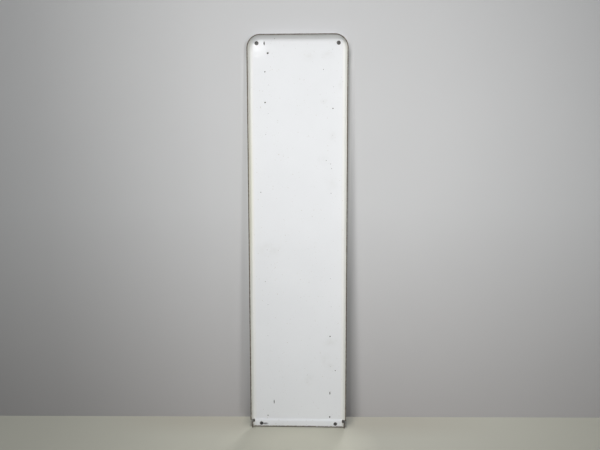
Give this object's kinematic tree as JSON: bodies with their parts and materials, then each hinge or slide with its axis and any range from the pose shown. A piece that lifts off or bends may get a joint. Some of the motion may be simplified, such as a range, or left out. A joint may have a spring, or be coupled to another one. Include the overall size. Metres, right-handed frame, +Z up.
{
  "type": "kick plate",
  "caption": "Long white-enamelled pressed-steel kick plate with a coved rim, rounded top corners, a stepped and notched bottom strip and open fixing holes.",
  "frame": {"origin": "midway between the centres of the two top fixing holes, on the outer face of the steel", "axes": "+Z up the height of the plate, +Y out of the outer (convex) face, the hollow side and the rim towards -Y, +X to the right as seen from the hollow side"},
  "size_m": [0.2, 0.012, 0.805],
  "materials": {
    "steel": "bare cut edge, dull and rusted",
    "ground_enamel": "dark fired ground enamel",
    "white_enamel": "glossy white fired enamel"
  },
  "bodies": {
    "root": {"steel_plate": "steel", "inner_ground_coat": "ground_enamel", "outer_ground_coat": "ground_enamel", "inner_cover_coat": "white_enamel", "outer_cover_coat": "white_enamel"}
  },
  "joints": []
}
